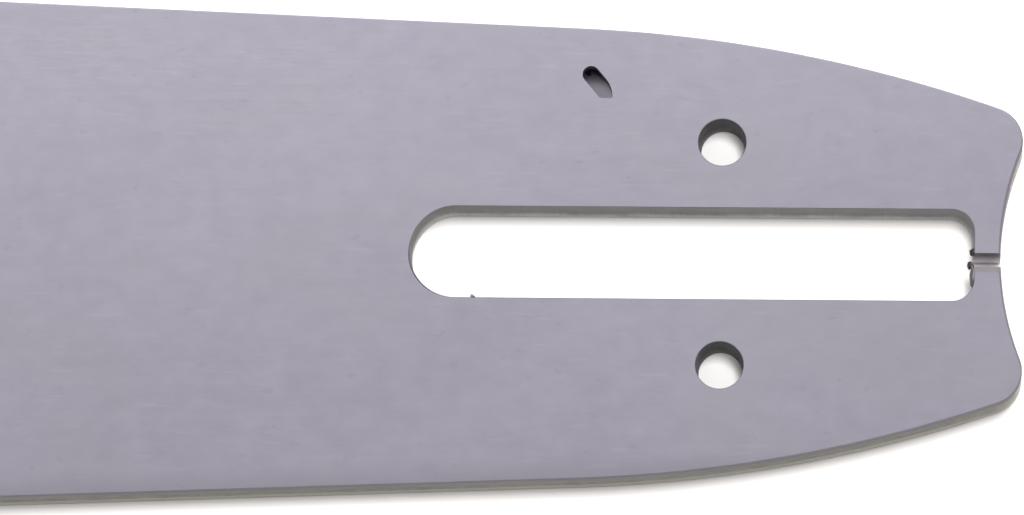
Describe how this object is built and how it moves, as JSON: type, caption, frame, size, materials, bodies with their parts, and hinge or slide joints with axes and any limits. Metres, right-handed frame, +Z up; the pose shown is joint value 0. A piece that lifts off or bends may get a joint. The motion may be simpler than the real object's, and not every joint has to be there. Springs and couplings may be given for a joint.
{
  "type": "chainsaw guide bar",
  "caption": "Flat one-piece steel guide bar for a chainsaw: round nose, chain groove along its edge, and a tail with a stud slot, tensioner holes and slanted oil inlets.",
  "frame": {"origin": "middle of the stud slot, on the lower face of the plate", "axes": "+X along the bar towards the tail, so the nose is at -X; +Z up through the thickness of the plate, which lies flat"},
  "size_m": [0.4749, 0.0516, 0.0046],
  "materials": {
    "ground_steel": "bare steel, ground lengthwise to a fine satin"
  },
  "bodies": {
    "root": {"guide_bar": "ground_steel"}
  },
  "joints": []
}
